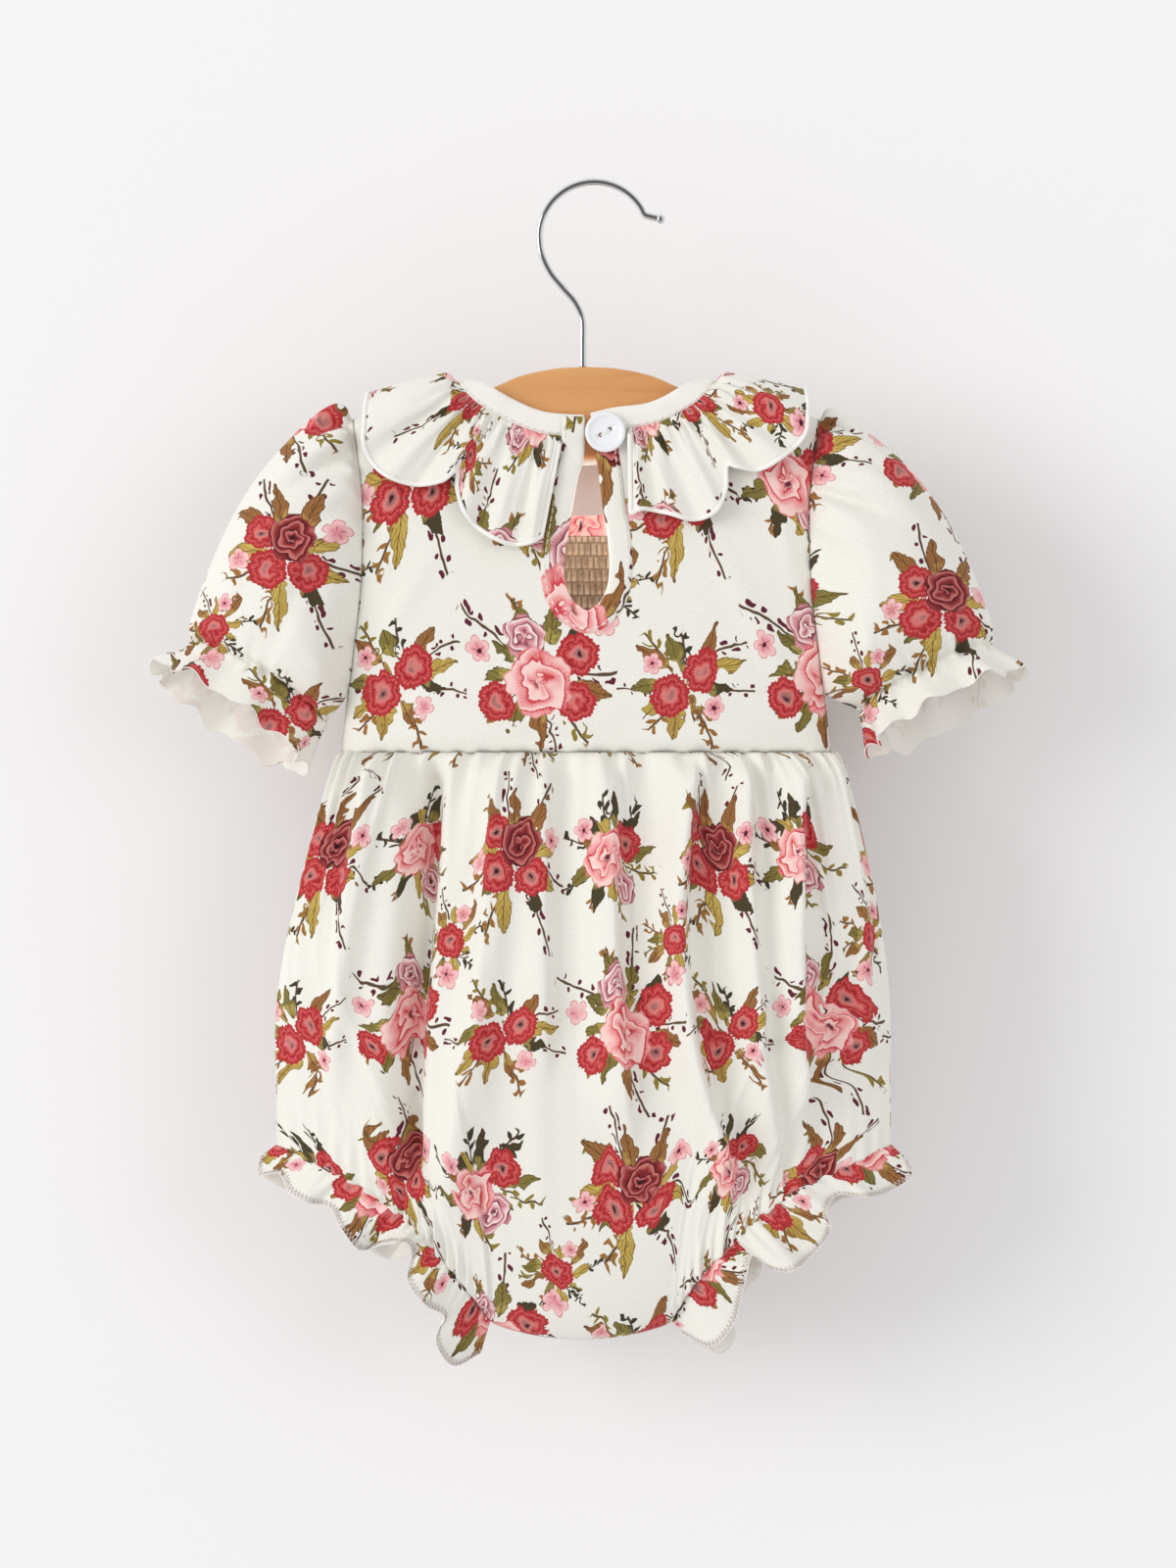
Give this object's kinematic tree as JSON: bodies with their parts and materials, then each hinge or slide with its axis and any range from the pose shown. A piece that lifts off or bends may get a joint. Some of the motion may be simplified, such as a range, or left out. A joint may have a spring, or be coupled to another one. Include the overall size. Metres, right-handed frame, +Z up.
{
  "type": "baby romper on a hanger",
  "caption": "Short-sleeved baby romper in floral jersey with a ruffled collar, keyhole back and elasticated legs, on a small wooden hanger.",
  "frame": {"origin": "inner top of the hanger's hook, where it rests on a rail", "axes": "+Z up, -Y towards the back of the garment, which its picture shows, +X to the right in that view"},
  "size_m": [0.3581, 0.0616, 0.4835],
  "materials": {
    "printed_jersey": "matt knitted jersey, off-white with a floral print",
    "smocked_jersey": "matt jersey gathered by rows of shirring",
    "button_plastic": "glossy white",
    "hanger_wood": "lacquered natural wood",
    "hook_chrome": "polished wire"
  },
  "bodies": {
    "root": {"back_bodice": "printed_jersey", "front_yoke": "printed_jersey", "front_smocked_panel": "smocked_jersey", "back_lower": "printed_jersey", "front_lower": "printed_jersey", "left_sleeve": "printed_jersey", "right_sleeve": "printed_jersey", "left_leg_ruffle": "printed_jersey", "right_leg_ruffle": "printed_jersey", "collar": "printed_jersey", "neck_binding": "printed_jersey", "keyhole_binding": "printed_jersey", "button": "button_plastic", "hanger_board": "hanger_wood", "hanger_hook": "hook_chrome"}
  },
  "joints": []
}
